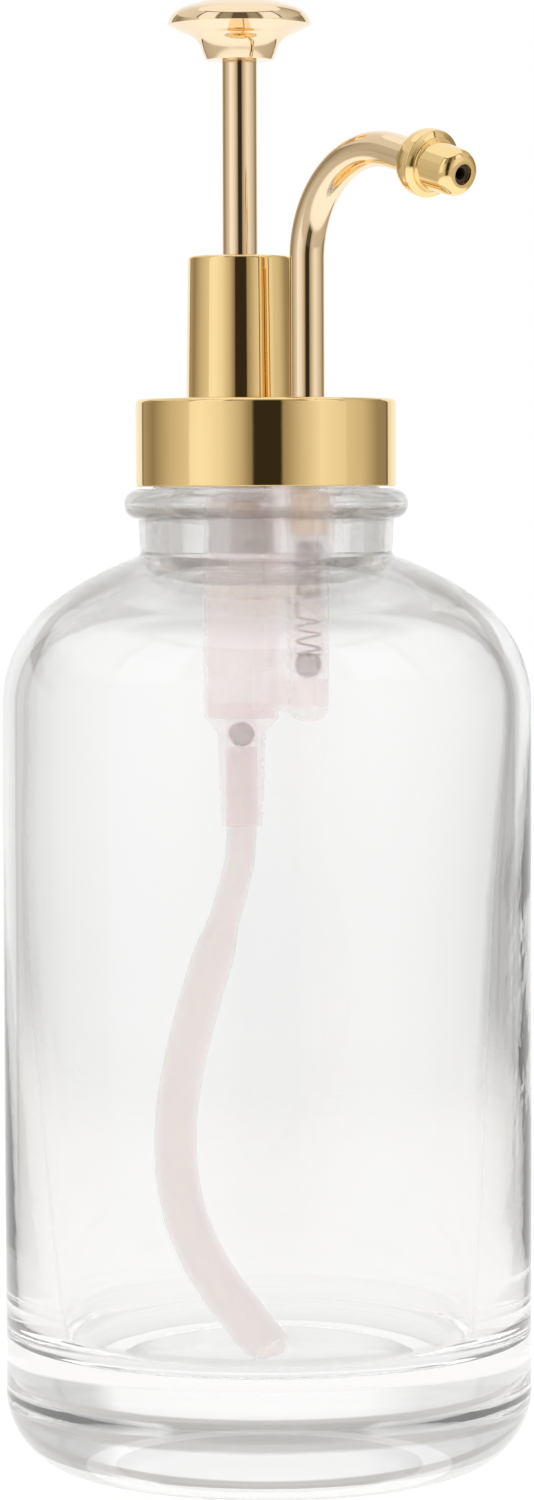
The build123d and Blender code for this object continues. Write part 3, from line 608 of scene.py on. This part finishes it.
# Two grey bars across the backdrop that only the glass shows; the upper one is short. Each edge is where it
# begins and ends to fade, on a backdrop one unit away
BAR_FOOT, BAR_TOP, BAR_COLOUR = (0.21, 0.25), (0.42, 0.36), (0.5, 0.485, 0.465, 1)
SHORT_FOOT, SHORT_TOP, SHORT_SIDE = (0.3, 0.34), (0.66, 0.56), (0.36, 0.28)
SHORT_COLOUR = (0.42, 0.41, 0.39, 1)
BEHIND = (-0.3, -0.42)
DIFFUSE_LEVEL = 1.4

world = bpy.data.worlds.new("studio")
scene.world = world
world.use_nodes = True
tree = world.node_tree
tree.nodes.clear()


def warm(grey):
    """The colour of a grey in the room: the darker it is, the warmer."""
    return grey, grey * (1 - 0.2 * (1 - grey)), grey * (1 - 0.5 * (1 - grey)), 1


def plain(grey):
    """The same grey without warmth."""
    return grey, grey, grey, 1


def maths(operation, *values):
    """The result of a Math node."""
    return node(tree, "Math", dict(enumerate(values)), operation=operation).outputs[0]


def ramp(value, stops, colour=warm):
    """A colour ramp from (degrees, grey) stops; the value runs from 0 at -180 degrees to 1 at 180."""
    made = node(tree, "ValToRGB", {0: value})
    points = made.color_ramp.elements
    points.remove(points[-1])
    points[0].position, points[0].color = (stops[0][0] + 180) / 360, colour(stops[0][1])
    for angle, grey in stops[1:]:
        points.new((angle + 180) / 360).color = colour(grey)
    return made.outputs["Color"]


def between(value, low, high):
    """Runs smoothly from 0 at low to 1 at high."""
    return node(tree, "MapRange", {"Value": value, "From Min": low, "From Max": high},
                interpolation_type="SMOOTHSTEP").outputs[0]


def mix(factor, first, second, blend="MIX"):
    """The second colour over the first by a factor; either may be a grey."""
    made = node(tree, "Mix", {"Factor": factor}, data_type="RGBA", blend_type=blend)
    for key, value in (("A", first), ("B", second)):
        if isinstance(value, bpy.types.NodeSocket):
            tree.links.new(value, made.inputs[key])
        else:
            made.inputs[key].default_value = value if isinstance(value, tuple) else plain(value)
    return made.outputs["Result"]


where = node(tree, "TexCoord").outputs["Generated"]
to_camera = math.pi / 2 - math.atan2(towards.y, towards.x)
turned_to = node(tree, "Mapping", {"Vector": where, "Rotation": (0, 0, to_camera)})
axes = node(tree, "SeparateXYZ", {0: turned_to.outputs[0]}).outputs
around = maths("ARCTAN2", axes["X"], axes["Y"])
share = node(tree, "MapRange", {"Value": around, "From Min": math.pi, "From Max": -math.pi}).outputs[0]
rise = maths("MULTIPLY", maths("ARCSINE", axes["Z"]), 180 / math.pi)

room = mix(between(rise, *TO_ABOVE), ramp(share, LEVEL), ramp(share, ABOVE))
room = mix(between(rise, *TO_ROOF), room, ramp(share, ROOF))
room = mix(between(rise, *TO_TOP), room, 1.0)
room = mix(between(rise, *TO_BELOW), room, ramp(share, BELOW))
room = mix(between(rise, *TO_FOOT), room, 1.0)

# Through the glass: a paler room without warmth, with the grey bars across its backdrop
through = mix(between(rise, *GLASSY_TOP), ramp(share, GLASSY, plain), TOP_GREY)
through = mix(between(rise, *GLASSY_FOOT), through, mix(1.0, through, FOOT_SHARE, "MULTIPLY"))
height = maths("MULTIPLY", maths("DIVIDE", axes["Z"], axes["Y"]), -1.0)
aside = maths("ABSOLUTE", maths("DIVIDE", axes["X"], axes["Y"]))
behind = between(axes["Y"], *BEHIND)
bar = maths("MULTIPLY", between(height, *BAR_FOOT), between(height, *BAR_TOP))
through = mix(maths("MULTIPLY", bar, behind), through, BAR_COLOUR)
short_bar = maths("MULTIPLY", between(height, *SHORT_FOOT), between(height, *SHORT_TOP))
short_bar = maths("MULTIPLY", short_bar, between(aside, *SHORT_SIDE))
through = mix(maths("MULTIPLY", short_bar, behind), through, SHORT_COLOUR)

path = node(tree, "LightPath").outputs
seen = mix(path["Is Transmission Ray"], room, through)
seen = mix(path["Is Diffuse Ray"], seen, mix(1.0, room, DIFFUSE_LEVEL, "MULTIPLY"))
seen = mix(path["Is Camera Ray"], seen, 1.0)
sky = node(tree, "Background", {"Color": seen, "Strength": 1.0})
node(tree, "OutputWorld", {"Surface": sky.outputs[0]})

MATERIAL_OF = {"glass": GLASS, "gold": GOLD, "rose_gold": ROSE, "clear_plastic": CLEAR, "soft_tube": TUBE,
               "white_plastic": WHITE, "steel": STEEL, "seal": SEAL, "dark_insert": DARK}
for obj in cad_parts.values():
    slot = obj.data.materials[0].name.split(".")[0]
    obj.data.materials[0] = MATERIAL_OF[slot]
